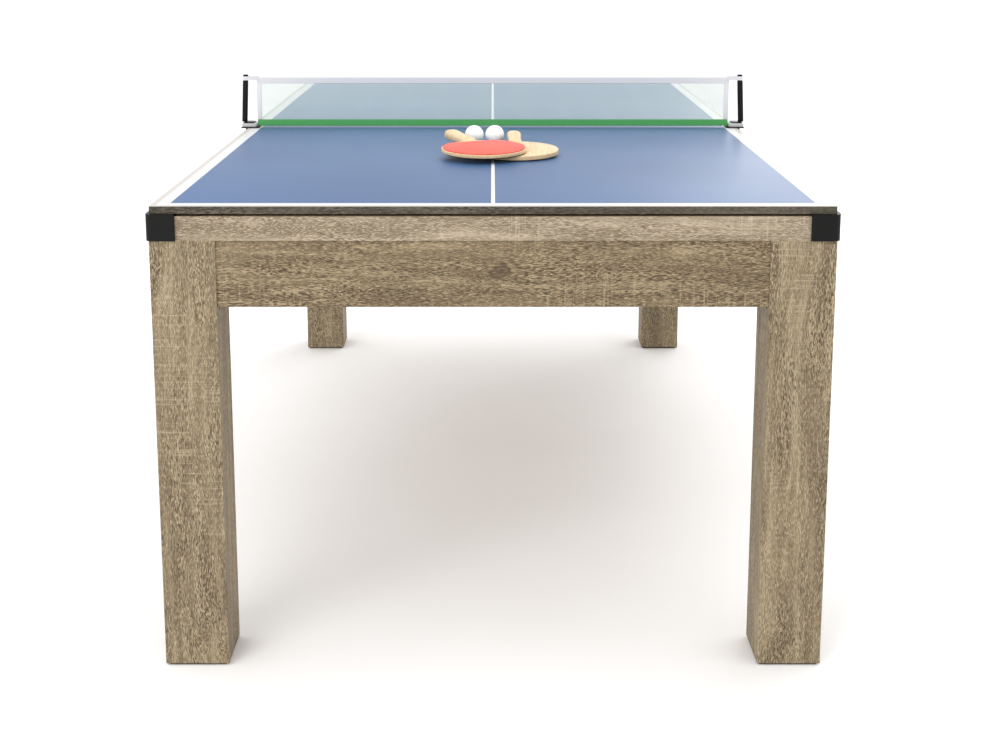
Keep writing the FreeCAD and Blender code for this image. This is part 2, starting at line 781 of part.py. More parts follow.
def lay(thing, x, y, turn, tip, twist=0):
    """Hold a bat over the table: twist it in its own plane, tip it, then turn it about the upright."""
    up = FreeCAD.Rotation(FreeCAD.Vector(0, 0, 1), turn)
    lean = FreeCAD.Rotation(FreeCAD.Vector(1, 0, 0), tip)
    spin = FreeCAD.Rotation(FreeCAD.Vector(0, 0, 1), twist)
    high = sum(size(a) for a in ("pad_thick", "leg_height", "rail_height", "cap_rise", "top_thick"))
    above = high + size("blade_radius") + size("handle_thick")
    thing.Placement = FreeCAD.Placement(FreeCAD.Vector(x, y, above), up.multiply(lean).multiply(spin))


def set_down(thing, supports, gap):
    """Lower a piece onto its supports, and stop at a small gap over the first that it meets."""
    while True:
        room = min(thing.Shape.distToShape(support.Shape)[0] for support in supports) - gap
        if room < gap / 10:
            return
        resting = thing.Placement
        resting.Base.z -= room
        thing.Placement = resting
        thing.purgeTouched()


# where each bat's blade lies, and how far its handle is turned from straight away
PLAIN_SPOT = (48, -485)
RED_SPOT = (-18, -522)
PLAIN_TURN = 1
RED_TURN = 22
BALL_SPOTS = {"left": ("-40", "-316"), "right": ("4", "-314")}


def bats(top):
    gap = size("fit_gap")
    core = size("blade_thick") + 2 * size("rubber_thick")
    contact_run = 2 * size("blade_radius") - size("handle_bite")
    plain_tip = math.degrees(math.atan2((size("handle_thick") - core) / 2, contact_run))
    plain = bat("plain_bat", "blade_thick + 2 * rubber_thick")
    wood = bat("red_bat", "blade_thick")
    skins = rubbers()
    document.recompute()
    lay(plain, *PLAIN_SPOT, PLAIN_TURN, plain_tip)
    set_down(plain, [top], gap)
    for piece in (wood, skins):
        lay(piece, *RED_SPOT, PLAIN_TURN, plain_tip, RED_TURN - PLAIN_TURN)
    set_down(skins, [top, plain], gap)
    set_down(wood, [top, plain], gap)
    if wood.Placement.Base.z < skins.Placement.Base.z:
        wood.Placement = skins.Placement
    skins.Placement = wood.Placement
    node("bat_plain", plain)
    node("bat_red", wood)
    node("bat_red_rubbers", skins)


def balls():
    for side, (x, y) in BALL_SPOTS.items():
        ball = document.addObject("Part::Sphere", f"{side}_ball")
        tie(ball, "Radius", "ball_radius")
        place(ball, (x, y, f"{SURFACE} + fit_gap + ball_radius"))
        node(f"ball_{side}", ball)


# ---- build, check and write ----

legs()
feet()
aprons()
beams()
brackets()
straps()
bolt_cylinders = bolts()
bed(bolt_cylinders)
rails(bolt_cylinders)
cushions()
sights()
corner_caps()
side_caps()
cups()
near_top = tennis_top()
net()
clamps()
bats(near_top)
balls()
document.recompute()

for thing in document.Objects:
    bad = {"Invalid", "Error"} & set(thing.State)
    if bad:
        raise RuntimeError(f"{thing.Label} failed to recompute: {bad}")

os.makedirs("parts", exist_ok=True)
for thing in nodes:
    shape = thing.Shape
    if shape.isNull() or not shape.isValid() or not shape.Solids:
        raise RuntimeError(f"{thing.Label} has no valid solid")
    shape.exportStep(f"parts/{thing.Label}.step")
print(len(nodes), "sub-parts written")
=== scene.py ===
"""A seven-foot pool table in greyed oak with a table-tennis top, net, bats and balls on it.

Metres, in the CAD frame: X across the table, Y along it, Z up from the floor.
"""

import math

import bmesh
import bpy
import numpy as np
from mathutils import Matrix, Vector


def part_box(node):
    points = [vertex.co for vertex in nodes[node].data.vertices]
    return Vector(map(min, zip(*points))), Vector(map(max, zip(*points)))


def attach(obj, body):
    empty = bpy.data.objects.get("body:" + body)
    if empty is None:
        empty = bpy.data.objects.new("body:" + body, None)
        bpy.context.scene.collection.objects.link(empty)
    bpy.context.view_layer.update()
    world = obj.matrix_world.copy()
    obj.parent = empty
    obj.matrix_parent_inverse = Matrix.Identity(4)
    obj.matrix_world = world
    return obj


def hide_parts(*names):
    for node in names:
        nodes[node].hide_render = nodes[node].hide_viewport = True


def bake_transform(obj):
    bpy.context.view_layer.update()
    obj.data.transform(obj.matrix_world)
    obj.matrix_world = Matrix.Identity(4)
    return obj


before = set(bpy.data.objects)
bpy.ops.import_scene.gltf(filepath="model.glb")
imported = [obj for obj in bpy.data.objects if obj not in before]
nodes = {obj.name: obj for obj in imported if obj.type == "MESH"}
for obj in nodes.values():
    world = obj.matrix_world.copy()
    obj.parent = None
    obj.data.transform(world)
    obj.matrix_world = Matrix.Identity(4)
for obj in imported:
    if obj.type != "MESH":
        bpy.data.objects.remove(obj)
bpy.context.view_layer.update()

MM = 0.001
CORNERS = ("near_left", "near_right", "far_left", "far_right")
SIDES = {"left": -1, "right": 1}


# ---- shader nodes and materials ----


def linear(code):
    """An sRGB hex colour as linear red, green and blue, with an alpha of 1."""
    values = [int(code[k : k + 2], 16) / 255 for k in (1, 3, 5)]
    return (*[v / 12.92 if v <= 0.04045 else ((v + 0.055) / 1.055) ** 2.4 for v in values], 1.0)


# a kind of node is its type, and the settings that it is made with; a blend's factor is its input 0,
# its colours are inputs 6 and 7, and its colour comes out of output 2
COORDS = ("ShaderNodeTexCoord", {})
PLACED = ("ShaderNodeMapping", {})
NOISE = ("ShaderNodeTexNoise", {})
CELLS = ("ShaderNodeTexVoronoi", {})
RAMP = ("ShaderNodeValToRGB", {})
SPLIT = ("ShaderNodeSeparateXYZ", {})
LEVEL = ("ShaderNodeMapRange", {"clamp": True})
BLEND = ("ShaderNodeMix", {"data_type": "RGBA"})
BUMP = ("ShaderNodeBump", {})
TIMES, MINUS, BELOW, LEAST, SIZE, SINE, TIMES_PLUS = (
    ("ShaderNodeMath", {"operation": name})
    for name in ("MULTIPLY", "SUBTRACT", "LESS_THAN", "MINIMUM", "ABSOLUTE", "SINE", "MULTIPLY_ADD")
)
SHIFTED, STRETCHED, SWAYED, LENGTH = (
    ("ShaderNodeVectorMath", {"operation": name})
    for name in ("SUBTRACT", "MULTIPLY", "MULTIPLY_ADD", "LENGTH")
)


def feed(tree, node, feeds):
    """Give a node's inputs, by name or number, their values or the outputs that they take."""
    for key, value in feeds.items():
        if isinstance(value, bpy.types.NodeSocket):
            tree.links.new(value, node.inputs[key])
        else:
            node.inputs[key].default_value = value


def add(tree, kind, feeds=(), out=0, stops=()):
    """Add a shader node of a kind, feed its inputs by name or in order, and give one output.

    Stops are the places and colours of a ramp.
    """
    made = tree.nodes.new(kind[0])
    for key, value in kind[1].items():
        setattr(made, key, value)
    feed(tree, made, feeds if isinstance(feeds, dict) else dict(enumerate(feeds)))
    for k, (place, code) in enumerate(stops):
        spot = made.color_ramp.elements[k] if k < 2 else made.color_ramp.elements.new(place)
        spot.position = place
        spot.color = linear(code)
    return made.outputs[out]


def finish(name, code, roughness, **sockets):
    """A material with its shader set, and its tree to draw on."""
    made = bpy.data.materials.new(name)
    made.use_nodes = True
    tree = made.node_tree
    shader = tree.nodes["Principled BSDF"]
    feed(tree, shader, {"Base Color": linear(code), "Roughness": roughness})
    feed(tree, shader, {key.replace("_", " "): value for key, value in sockets.items()})
    return made, tree, shader


def stretched_noise(tree, grain, along, across, detail=3.0, warp=None, rough=0.5):
    """Noise drawn out along the grain: features of 1/along and 1/across metres."""
    scale = [across] * 3
    scale[grain] = along
    coords = warp or add(tree, COORDS, out="Object")
    placed = add(tree, PLACED, {"Vector": coords, "Scale": scale})
    feeds = {"Vector": placed, "Scale": 1.0, "Detail": detail, "Roughness": rough}
    return add(tree, NOISE, feeds, "Fac")


def sawn_oak(name, grain, tones, knot=None):
    """Greyed oak laminate, printed and embossed like sawn board: matt, streaky and full of pores.

    Tone bands 18 mm wide and growth lines 6 mm apart wander along the grain. Dark pores and pale
    flecks of about 1.2 mm by 9 mm crowd some bands and leave others smooth, and patches of pale
    saw marks cross them.
    """
    pale, middle, dark, pore_tone, mark_tone = tones
    made, tree, shader = finish(name, middle, 0.6, Specular_IOR_Level=0.3)
    coords = add(tree, COORDS, out="Object")
    sway = stretched_noise(tree, grain, 2.2, 8, 2)
    warped = add(tree, SWAYED, [sway, (0.09, 0.09, 0.09), coords])
    streak = stretched_noise(tree, grain, 3, 55, 4, warped, 0.6)
    line = stretched_noise(tree, grain, 4, 170, 3, warped)
    pore = stretched_noise(tree, grain, 105, 880, 1, warped)
    fleck = stretched_noise(tree, grain, 140, 1100, 1, warped)
    crowd = stretched_noise(tree, grain, 4, 26, 2, warped)
    mark = stretched_noise(tree, grain, 300, 9, 2)
    patch = stretched_noise(tree, grain, 5, 9, 2)

    bands = add(tree, LEVEL, [streak, 0.38, 0.62])
    colour = add(tree, RAMP, [bands], stops=[(0.0, dark), (1.0, pale), (0.5, middle)])
    lines = add(tree, LEVEL, [line, 0.5, 0.57, 0.0, 0.6])
    colour = add(tree, BLEND, {0: lines, 6: colour, 7: linear(dark)}, 2)
    flecks = add(tree, LEVEL, [fleck, 0.53, 0.61, 0.0, 0.75])
    colour = add(tree, BLEND, {0: flecks, 6: colour, 7: linear(mark_tone)}, 2)
    crowded = add(tree, LEVEL, [crowd, 0.38, 0.58, 0.45, 1.0])
    holes = add(tree, TIMES, [add(tree, LEVEL, [pore, 0.49, 0.56]), crowded])
    colour = add(tree, BLEND, {0: holes, 6: colour, 7: linear(pore_tone)}, 2)
    if knot:
        colour = knotted(tree, colour, coords, streak, grain, knot, pore_tone)
    patches = add(tree, LEVEL, [patch, 0.52, 0.62])
    sawn = add(tree, TIMES, [add(tree, LEVEL, [mark, 0.54, 0.66]), patches])
    marks = add(tree, TIMES, [sawn, 0.4])
    colour = add(tree, BLEND, {0: marks, 6: colour, 7: linear(mark_tone)}, 2)
    lift = add(tree, MINUS, [sawn, holes])
    normal = add(tree, BUMP, {"Height": lift, "Distance": 0.3 * MM, "Strength": 0.5})
    feed(tree, shader, {"Base Color": colour, "Normal": normal})
    return made


def knotted(tree, colour, coords, streak, grain, knot, tone):
    """A knot on a colour: a dark eye, with rings round it that fade out at its reach.

    The rings are a sine of the distance from its middle, which runs 1.5 times as far along the
    grain and is made uneven by the tone bands.
    """
    centre, reach = knot
    scale = [1 / reach] * 3
    scale[grain] = 1 / (1.5 * reach)
    moved = add(tree, SHIFTED, [coords, centre])
    true = add(tree, LENGTH, [add(tree, STRETCHED, [moved, scale])], "Value")
    uneven = add(tree, TIMES_PLUS, [streak, 1.3, true])
    far = add(tree, MINUS, [uneven, 0.65])
    wave = add(tree, SINE, [add(tree, TIMES, [far, 24.0])])
    fading = add(tree, LEVEL, [far, 1.0, 0.35, 0.0, 0.75])
    rings = add(tree, TIMES, [add(tree, LEVEL, [wave, -0.3, 0.9]), fading])
    ringed = add(tree, BLEND, {0: rings, 6: colour, 7: linear(tone)}, 2)
    eye = add(tree, LEVEL, [far, 0.42, 0.12, 0.0, 0.9])
    return add(tree, BLEND, {0: eye, 6: ringed, 7: linear(tone)}, 2)


def painted_board(name, half_x, half_y):
    """Sprayed satin enamel on a table-tennis top: smooth and softly glossy, with screened lines.

    The distance to the board's edge picks the paint: painted shade on the rounded edge for 1.6 mm,
    pale trim to 10 mm, a white line to 30 mm, then blue with a centre line of 6.5 mm.
    """
    made, tree, shader = finish(name, "#34557F", 0.45, Specular_IOR_Level=0.35)
    coords = add(tree, COORDS, out="Object")
    x = add(tree, SIZE, [add(tree, SPLIT, [coords], "X")])
    y = add(tree, SIZE, [add(tree, SPLIT, [coords], "Y")])
    inset = add(tree, LEAST, [add(tree, MINUS, [half_x, x]), add(tree, MINUS, [half_y, y])])
    cloudy = add(tree, LEVEL, [stretched_noise(tree, 2, 2.5, 2.5), 0.3, 0.7])
    colour = add(tree, BLEND, {0: cloudy, 6: linear("#31517B"), 7: linear("#385A85")}, 2)
    centre_line, border = (x, 3.25 * MM, "#D0D0D0"), (inset, 30 * MM, "#C8C8C8")
    # the grey of the outer 1.6 mm is painted shade, where the top's edge rounds over
    trim, arris_shade = (inset, 10 * MM, "#B6B0AA"), (inset, 1.6 * MM, "#938E86")
    for place, width, code in (centre_line, border, trim, arris_shade):
        within = add(tree, BELOW, [place, width])
        colour = add(tree, BLEND, {0: within, 6: colour, 7: linear(code)}, 2)
    peel = stretched_noise(tree, 2, 420, 420, 2)
    normal = add(tree, BUMP, {"Height": peel, "Distance": 0.08 * MM, "Strength": 0.25})
    feed(tree, shader, {"Base Color": colour, "Normal": normal})
    return made


def fibreboard(name, code):
    """Raw medium-density fibreboard: matt, flecked brown."""
    made, tree, shader = finish(name, code, 0.8)
    fleck = stretched_noise(tree, 2, 260, 260, 4)
    tone = add(tree, LEVEL, [fleck, 0.35, 0.7])
    colour = add(tree, BLEND, {0: tone, 6: linear(code), 7: linear("#A08560")}, 2)
    normal = add(tree, BUMP, {"Height": fleck, "Distance": 0.1 * MM, "Strength": 0.3})
    feed(tree, shader, {"Base Color": colour, "Normal": normal})
    return made


def moulded_plastic(name, code, roughness, grit):
    """Injection-moulded plastic with a spark-eroded skin: fine grit, and slightly uneven gloss."""
    made, tree, shader = finish(name, code, roughness, Specular_IOR_Level=0.17)
    grain = stretched_noise(tree, 2, 1 / grit, 1 / grit, 3)
    cloud = stretched_noise(tree, 2, 30, 30, 3)
    gloss = add(tree, LEVEL, [cloud, 0.0, 1.0, roughness - 0.06, roughness + 0.1])
    normal = add(tree, BUMP, {"Height": grain, "Distance": 0.12 * MM, "Strength": 0.5})
    feed(tree, shader, {"Roughness": gloss, "Normal": normal})
    return made


def plated_steel(name):
    """Bright zinc plate on pressed steel: grey metal with a faint crystalline mottle."""
    made, tree, shader = finish(name, "#B9BCC0", 0.34, Metallic=1.0)
    coords = add(tree, COORDS, out="Object")
    cells = add(tree, CELLS, {"Vector": coords, "Scale": 180.0}, "Distance")
    feed(tree, shader, {"Roughness": add(tree, LEVEL, [cells, 0.0, 1.0, 0.26, 0.46])})
    return made


def napped_felt(name, code, pale):
    """Woollen baize with a raised nap: matt, with soft sheen and fine fuzz of 0.6 mm."""
    made, tree, shader = finish(name, code, 0.95, Sheen_Weight=0.5, Sheen_Roughness=0.5)
    fuzz = stretched_noise(tree, 2, 1500, 1500, 3)
    cloud = stretched_noise(tree, 1, 5, 9, 3)
    tone = add(tree, LEVEL, [add(tree, TIMES, [fuzz, cloud]), 0.12, 0.4])
    colour = add(tree, BLEND, {0: tone, 6: linear(code), 7: linear(pale)}, 2)
    normal = add(tree, BUMP, {"Height": fuzz, "Distance": 0.3 * MM, "Strength": 0.5})
    feed(tree, shader, {"Base Color": colour, "Normal": normal})
    return made


def woven_tape(name, code, pale, pitch):
    """Plain-woven polyester tape: threads of one pitch both ways, soft and nearly matt."""
    made, tree, shader = finish(name, code, 0.75, Sheen_Weight=0.25)
    coords = add(tree, COORDS, out="Object")
    feeds = {"Vector": coords, "Scale": 0.314 / pitch, "Distortion": 0.4}
    warp = add(tree, ("ShaderNodeTexWave", {"bands_direction": "X"}), feeds, "Fac")
    weft = add(tree, ("ShaderNodeTexWave", {"bands_direction": "Z"}), feeds, "Fac")
    weave = add(tree, TIMES, [warp, weft])
    colour = add(tree, BLEND, {0: weave, 6: linear(code), 7: linear(pale)}, 2)
    normal = add(tree, BUMP, {"Height": weave, "Distance": 0.15 * MM, "Strength": 0.5})
    feed(tree, shader, {"Base Color": colour, "Normal": normal})
    return made


def twisted_cord(name, code):
    """Braided nylon net cord: pale and slightly glossy."""
    made, tree, shader = finish(name, code, 0.5, Sheen_Weight=0.2)
    fleck = add(tree, LEVEL, [stretched_noise(tree, 2, 900, 900, 2), 0.3, 0.7])
    colour = add(tree, BLEND, {0: fleck, 6: linear(code), 7: linear("#C9D8CE")}, 2)
    feed(tree, shader, {"Base Color": colour})
    return made


def bat_veneer(name, pale, dark, grain=1):
    """Limba veneer on a bat: pale straight grain under thin lacquer."""
    made, tree, shader = finish(name, pale, 0.45, Coat_Weight=0.1)
    streak = add(tree, LEVEL, [stretched_noise(tree, grain, 9, 210, 4), 0.35, 0.68])
    fibre = stretched_noise(tree, grain, 60, 900, 2)
    colour = add(tree, BLEND, {0: streak, 6: linear(pale), 7: linear(dark)}, 2)
    fine = add(tree, LEVEL, [fibre, 0.45, 0.7, 0.0, 0.35])
    colour = add(tree, BLEND, {0: fine, 6: colour, 7: linear(dark)}, 2)
    normal = add(tree, BUMP, {"Height": fibre, "Distance": 0.06 * MM, "Strength": 0.3})
    feed(tree, shader, {"Base Color": colour, "Normal": normal})
    return made


def bat_rubber(name, code, pale):
    """Moulded rubber sheet with 1.8 mm pimples turned inwards, so its face is smooth and waxy."""
    made, tree, shader = finish(name, code, 0.5, Specular_IOR_Level=0.4)
    coords = add(tree, COORDS, out="Object")
    pattern = {"Vector": coords, "Scale": 1 / (1.8 * MM), "Randomness": 0.25}
    dots = add(tree, CELLS, pattern, "Distance")
    cloud = add(tree, LEVEL, [stretched_noise(tree, 2, 22, 22, 3), 0.3, 0.7])
    colour = add(tree, BLEND, {0: cloud, 6: linear(code), 7: linear(pale)}, 2)
    normal = add(tree, BUMP, {"Height": dots, "Distance": 0.08 * MM, "Strength": 0.35})
    feed(tree, shader, {"Base Color": colour, "Normal": normal})
    return made


def celluloid(name):
    """Table-tennis ball: pressed celluloid, white, ground to a fine matt with a soft glow."""
    made, tree, shader = finish(name, "#F4F3EE", 0.42, Subsurface_Weight=0.15, Subsurface_Scale=0.004)
    haze = stretched_noise(tree, 2, 160, 160, 3)
    tone = add(tree, LEVEL, [haze, 0.3, 0.7])
    colour = add(tree, BLEND, {0: tone, 6: linear("#F1F0EA"), 7: linear("#FAFAF7")}, 2)
    normal = add(tree, BUMP, {"Height": haze, "Distance": 0.03 * MM, "Strength": 0.2})
    feed(tree, shader, {"Base Color": colour, "Normal": normal})
    return made


# pale band, middle, dark band, pores, and flecks with saw marks
PALE_OAK = ("#A79882", "#968771", "#7F705A", "#6E5F4B", "#B7AA96")
MID_OAK = ("#948265", "#7F6D52", "#67563F", "#483B2A", "#A79678")
LEG_OAK = ("#9B8B70", "#88785D", "#70604A", "#504331", "#AD9F82")
DARK_OAK = ("#5A5348", "#4A4439", "#3B352C", "#29231C", "#655F50")
X, Y, Z = 0, 1, 2

apron_low, apron_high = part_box("apron_near")
apron_mid = (apron_low + apron_high) / 2
knot_place = ((apron_mid.x + 0.014, apron_low.y, apron_mid.z + 0.002), 0.04)

oak = {
    "leg": sawn_oak("oak_laminate_leg", Z, LEG_OAK),
    "apron_end": sawn_oak("oak_laminate_end_apron", X, MID_OAK, knot_place),
    "apron_side": sawn_oak("oak_laminate_side_apron", Y, MID_OAK),
    "rail_end": sawn_oak("oak_laminate_end_rail", X, PALE_OAK),
    "rail_side": sawn_oak("oak_laminate_side_rail", Y, PALE_OAK),
    "edge_end": sawn_oak("oak_edging_end", X, DARK_OAK),
    "edge_side": sawn_oak("oak_edging_side", Y, DARK_OAK),
}
board = fibreboard("raw_fibreboard", "#8A6E4C")
steel = plated_steel("zinc_plated_steel")
cap_black = moulded_plastic("black_abs_caps", "#090908", 0.45, 0.6 * MM)
cup_black = moulded_plastic("black_moulded_cups", "#191919", 0.5, 0.9 * MM)
foot_black = moulded_plastic("black_nylon_feet", "#161616", 0.55, 0.7 * MM)
clamp_black = moulded_plastic("black_nylon_clamp", "#0C0C0C", 0.4, 0.5 * MM)
jaw_grey = moulded_plastic("grey_nylon_jaw", "#A9A9A8", 0.4, 0.6 * MM)
pearl = moulded_plastic("pearl_sight", "#ECEAE2", 0.2, 0.9 * MM)
felt = napped_felt("blue_grey_baize", "#3C5468", "#58748A")
cord_pale = twisted_cord("pale_green_nylon_cord", "#B8C8C0")
tape_white = woven_tape("white_woven_tape", "#CACACC", "#D6D6D8", 0.9 * MM)
band_green = woven_tape("green_woven_tape", "#3D9049", "#5BAA63", 0.9 * MM)
veneer = bat_veneer("limba_veneer", "#D8C09B", "#C9A777")
rubber = bat_rubber("red_pimpled_rubber", "#CF4030", "#D9523F")
black_rubber = bat_rubber("black_pimpled_rubber", "#1A1A1B", "#242425")
white_ball = celluloid("white_celluloid")


# ---- shapes ----


def make(name, points, faces, materials, slots=None, smooth=True):
    """A mesh object from an array of points and lists of face corners, with its normals outwards."""
    mesh = bpy.data.meshes.new(name)
    spots = np.asarray(points, float).reshape(-1, 3).tolist()
    mesh.from_pydata(spots, [], [list(map(int, face)) for face in faces])
    for m in materials if isinstance(materials, (list, tuple)) else [materials]:
        mesh.materials.append(m)
    if slots is not None:
        mesh.polygons.foreach_set("material_index", np.asarray(slots, np.int32))
    mesh.polygons.foreach_set("use_smooth", np.full(len(mesh.polygons), smooth))
    shell = bmesh.new()
    shell.from_mesh(mesh)
    bmesh.ops.recalc_face_normals(shell, faces=shell.faces)
    shell.to_mesh(mesh)
    shell.free()
    made = bpy.data.objects.new(name, mesh)
    bpy.context.scene.collection.objects.link(made)
    if smooth:
        sharpen(made)
    return made


def sharpen(piece, angle=35):
    """Keep edges sharper than an angle crisp under smooth shading."""
    shell = bmesh.new()
    shell.from_mesh(piece.data)
    for edge in shell.edges:
        turned = len(edge.link_faces) == 2 and edge.calc_face_angle(0) > math.radians(angle)
        edge.smooth = not turned
    shell.to_mesh(piece.data)
    shell.free()


def ring_faces(rings, count, closed=False):
    """Quads between rings of count points, each ring closed; the last meets the first if closed."""
    k, j = np.meshgrid(np.arange(rings if closed else rings - 1), np.arange(count), indexing="ij")
    a, b = k * count, (k + 1) % rings * count
    n = (j + 1) % count
    return np.stack([a + j, a + n, b + n, b + j], axis=-1).reshape(-1, 4)


def tube(name, rings, materials, capped=True, closed=False, slots=None, smooth=True):
    """A skin over an array of rings (rings, points, 3), with its two ends capped or joined."""
    rings = np.asarray(rings, float)
    count = rings.shape[1]
    faces = ring_faces(len(rings), count, closed).tolist()
    if capped and not closed:
        faces += [list(range(count)), list(range((len(rings) - 1) * count, len(rings) * count))]
    return make(name, rings, faces, materials, slots(faces, rings) if slots else None, smooth)


def rounded_outline(low, high, radius, steps=6):
    """A rectangle with round corners: a quarter circle of equal steps at each corner."""
    quarter = np.linspace(0, math.pi / 2, steps)
    right, left = high[0] - radius, low[0] + radius
    back, front = high[1] - radius, low[1] + radius
    spots = []
    for k, centre in enumerate(((right, back), (left, back), (left, front), (right, front))):
        turn = quarter + k * math.pi / 2
        spots.append(centre + radius * np.stack([np.cos(turn), np.sin(turn)], axis=-1))
    return np.concatenate(spots)


def soft_edge(low, high, arris):
    """How far an edge is drawn in at each height of a plate, round two quarter turns of one radius."""
    turn = np.linspace(0, math.pi / 2, 4)
    ins = arris * (1 - np.sin(turn))
    ups = arris * (1 - np.cos(turn))
    return np.concatenate([ins, ins[::-1]]), np.concatenate([low + ups, high - ups[::-1]])


def plate(name, low, high, radius, arris, materials, slots=None):
    """An upright block with round corners, whose outline is drawn in along its top and bottom edges."""
    rings = []
    for inset, up in zip(*soft_edge(low[2], high[2], arris), strict=True):
        start, end = (low[0] + inset, low[1] + inset), (high[0] - inset, high[1] - inset)
        flat = rounded_outline(start, end, max(radius - inset, arris / 4))
        rings.append(np.column_stack([flat, np.full(len(flat), up)]))
    return tube(name, rings, materials, slots=slots)


def join(name, pieces):
    """One object from several meshes, with their materials kept."""
    shell = bmesh.new()
    materials = []
    for piece in pieces:
        own = [m for m in piece.data.materials]
        start = len(shell.faces)
        shell.from_mesh(piece.data)
        shell.faces.ensure_lookup_table()
        for m in own:
            if m not in materials:
                materials.append(m)
        for face in shell.faces[start:]:
            face.material_index = materials.index(own[face.material_index])
        bpy.data.objects.remove(piece)
    mesh = bpy.data.meshes.new(name)
    shell.to_mesh(mesh)
    shell.free()
    for m in materials:
        mesh.materials.append(m)
    made = bpy.data.objects.new(name, mesh)
    bpy.context.scene.collection.objects.link(made)
    return made


def settle(piece, body, slot, *replaced):
    """Put a finished piece on its body and hide the CAD nodes that it stands for; the record's slot is
    not used.
    """
    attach(piece, body)
    if replaced:
        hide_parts(*replaced)
    return piece


def dress(names, material):
    """Give CAD nodes a material of their own."""
    for name in names:
        slots = nodes[name].data.materials
        slots.clear()
        slots.append(material)


# ---- the pool table ----


def table_wood():
    """Oak laminate on the CAD's legs, aprons and rails, with its grain along each of them.

    The boards that are hidden in the table are raw fibreboard.
    """
    dress([f"leg_panel_{c}" for c in CORNERS] + ["leg_inner_panels"], oak["leg"])
    dress(["apron_near", "apron_far"], oak["apron_end"])
    dress(["apron_left", "apron_right"], oak["apron_side"])
    dress(["rail_near", "rail_far"], oak["rail_end"])
    dress([f"rail_{c}" for c in CORNERS], oak["rail_side"])
    dress(["bed_board", "cross_beams", "leg_foot_blocks"], board)


def table_fittings():
    """Moulded plastic on the CAD's caps, cups, pads and sights, and zinc plate on its steel."""
    dress([f"corner_cap_{c}" for c in CORNERS] + ["side_caps"], cap_black)
    dress([f"pocket_cup_{c}" for c in CORNERS] + ["pocket_cup_left", "pocket_cup_right"], cup_black)
    dress([f"foot_pad_{c}" for c in CORNERS], foot_black)
    dress([f"foot_stud_{c}" for c in CORNERS], steel)
    dress(["leg_tee_nuts", "beam_brackets", "corner_straps", "frame_screws", "rail_bolts"], steel)
    dress(["rail_sights"], pearl)


def hole(place):
    """A pocket hole's axis and radius, from the outer edge of the cup under it."""
    low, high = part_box(f"pocket_cup_{place}")
    radius = (46 if place in SIDES else 50) * MM
    cup_wall = 2.5 * MM
    reach = radius + cup_wall
    x = high.x - reach if high.x > 0 else low.x + reach
    if place in SIDES:
        return (x, 0.0), radius
    return (x, high.y - reach if high.y > 0 else low.y + reach), radius


def pocket_liners():
    """Black sleeves in the pocket holes: a full ring in the bed, and an arc up the corner rails' cut.

    Each is a flat section carried round the hole's axis. The arc runs where the hole cuts the rails,
    which is where its sine or cosine passes the share of the radius to the rail's inner face.
    """
    board_low, board_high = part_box("bed_board")
    rail_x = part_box("side_cushions")[1].x
    rail_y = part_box("end_cushions")[1].y
    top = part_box("corner_cap_far_right")[1].z
    wall, gap = 1.2 * MM, 0.1 * MM
    sleeves = []

    def sleeve(name, spot, radius, low, high, turns, closed):
        """One sleeve: its upright section at each of the turns round a pocket hole's axis."""
        outer, inner = radius - gap, radius - gap - wall
        section = np.array([(outer, low), (outer, high), (inner, high), (inner, low)])
        flat = np.outer(np.cos(turns), section[:, 0]), np.outer(np.sin(turns), section[:, 0])
        up = np.broadcast_to(section[:, 1], flat[0].shape)
        rings = np.stack([spot[0] + flat[0], spot[1] + flat[1], up], axis=-1)
        sleeves.append(tube(name, rings, cup_black, closed=closed))

    whole = np.linspace(0, 2 * math.pi, 48, endpoint=False)
    for corner in CORNERS:
        spot, radius = hole(corner)
        sleeve(f"ring_{corner}", spot, radius, board_low.z + gap, board_high.z, whole, True)
        sx, sy = math.copysign(1, spot[0]), math.copysign(1, spot[1])
        start = -math.acos((rail_x - abs(spot[0])) / radius)
        end = math.pi - math.asin((rail_y - abs(spot[1])) / radius)
        arc = np.linspace(start, end, 40)
        arc = np.arctan2(sy * np.sin(arc), sx * np.cos(arc))
        sleeve(f"arc_{corner}", spot, radius, board_high.z + 1 * MM, top - gap, arc, False)
    for side in SIDES:
        spot, radius = hole(side)
        sleeve(f"ring_{side}", spot, radius, board_low.z + gap, board_high.z, whole, True)
    settle(join("pocket_liners", sleeves), "table", "cup_plastic")


def bed_baize():
    """The cloth on the bed: the CAD sheet's own outline, merged to one skin, with its nap."""
    shell = bmesh.new()
    shell.from_mesh(nodes["bed_cloth"].data)
    bmesh.ops.remove_doubles(shell, verts=shell.verts, dist=0.02 * MM)
    mesh = bpy.data.meshes.new("bed_baize")
    shell.to_mesh(mesh)
    shell.free()
    mesh.materials.clear()
    mesh.materials.append(felt)
    cloth = bpy.data.objects.new("bed_baize", mesh)
    bpy.context.scene.collection.objects.link(cloth)
    settle(cloth, "table", "bed_felt", "bed_cloth")


def cushion_profile(depth, low, high):
    """Across a cushion: a flat back, a crown sloping to a round nose, and a slanted underside.

    Points run round the section as (distance from the rail, height).
    """
    nose = high - 5.5 * MM
    turn = np.linspace(math.radians(75), math.radians(-60), 7)
    bulb = 2.6 * MM
    tip = np.stack([depth - bulb + bulb * np.cos(turn), nose + bulb * np.sin(turn)], axis=-1)
    crown = [
        (0.3 * MM, high - 0.8 * MM),
        (1.5 * MM, high),
        (depth * 0.35, high - 0.4 * MM),
        (depth * 0.7, high - 1.6 * MM),
    ]
    under = [
        (depth * 0.62, low + 9 * MM),
        (depth * 0.34, low + 0.5 * MM),
        (depth * 0.3, low),
        (0.3 * MM, low),
    ]
    return np.concatenate([crown, tip, under])


